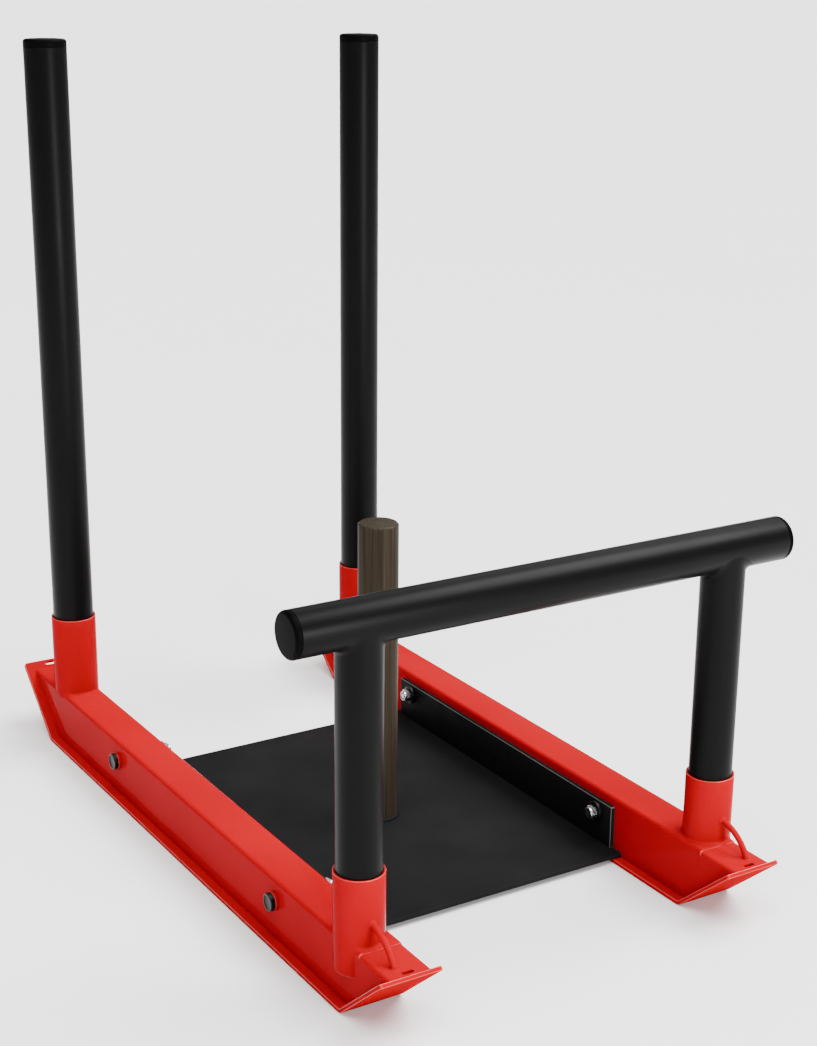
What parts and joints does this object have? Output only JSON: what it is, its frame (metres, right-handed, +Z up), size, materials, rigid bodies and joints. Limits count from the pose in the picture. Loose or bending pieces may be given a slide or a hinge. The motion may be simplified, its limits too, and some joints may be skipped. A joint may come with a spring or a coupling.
{
  "type": "push sled",
  "caption": "Weight sled on two red runners with a bolted tray, an upright plate post, two tall push poles and a low crossbar handle that lift out of their sockets.",
  "frame": {"origin": "on the ground under the middle of the sled's box", "axes": "+Z up, +Y from the low handle at the front to the push poles at the rear, +X to the right as seen from the front"},
  "size_m": [0.633, 0.9942, 0.945],
  "materials": {
    "red_gloss_coat": "gloss",
    "black_satin_coat": "satin",
    "black_texture_coat": "fine texture, matte",
    "black_plastic": "satin",
    "bronze_steel": "brushed, bronze toned",
    "black_oxide_steel": "black oxide, satin",
    "zinc_plate": "bright zinc"
  },
  "bodies": {
    "sled": {"ski_plate_left": "red_gloss_coat", "runner_beam_left": "red_gloss_coat", "nose_box_left": "red_gloss_coat", "front_socket_left": "red_gloss_coat", "rear_socket_left": "red_gloss_coat", "tow_loop_left": "red_gloss_coat", "ski_plate_right": "red_gloss_coat", "runner_beam_right": "red_gloss_coat", "nose_box_right": "red_gloss_coat", "front_socket_right": "red_gloss_coat", "rear_socket_right": "red_gloss_coat", "tow_loop_right": "red_gloss_coat", "tray_floor": "black_texture_coat", "tray_side_left": "black_texture_coat", "tray_side_right": "black_texture_coat", "weight_post": "bronze_steel", "bolt_boss_front_left": "red_gloss_coat", "bolt_front_left": "black_oxide_steel", "bolt_spacer_front_left": "black_oxide_steel", "bolt_nut_front_left": "zinc_plate", "bolt_boss_rear_left": "red_gloss_coat", "bolt_rear_left": "black_oxide_steel", "bolt_spacer_rear_left": "black_oxide_steel", "bolt_nut_rear_left": "zinc_plate", "bolt_boss_front_right": "red_gloss_coat", "bolt_front_right": "black_oxide_steel", "bolt_spacer_front_right": "black_oxide_steel", "bolt_nut_front_right": "zinc_plate", "bolt_boss_rear_right": "red_gloss_coat", "bolt_rear_right": "black_oxide_steel", "bolt_spacer_rear_right": "black_oxide_steel", "bolt_nut_rear_right": "zinc_plate"},
    "left_push_pole": {"push_pole_left": "black_satin_coat", "pole_cap_left": "black_plastic"},
    "right_push_pole": {"push_pole_right": "black_satin_coat", "pole_cap_right": "black_plastic"},
    "low_handle": {"handle_crossbar": "black_satin_coat", "handle_leg_left": "black_satin_coat", "handle_leg_right": "black_satin_coat", "crossbar_cap_left": "black_plastic", "crossbar_cap_right": "black_plastic"}
  },
  "joints": [
    {"name": "left_push_pole_lift", "type": "slide", "parent": "sled", "child": "left_push_pole", "axis": [0, 0, 1], "range_m": [0, 0.105]},
    {"name": "right_push_pole_lift", "type": "slide", "parent": "sled", "child": "right_push_pole", "axis": [0, 0, 1], "range_m": [0, 0.105]},
    {"name": "low_handle_lift", "type": "slide", "parent": "sled", "child": "low_handle", "axis": [0, 0, 1], "range_m": [0, 0.076]}
  ]
}
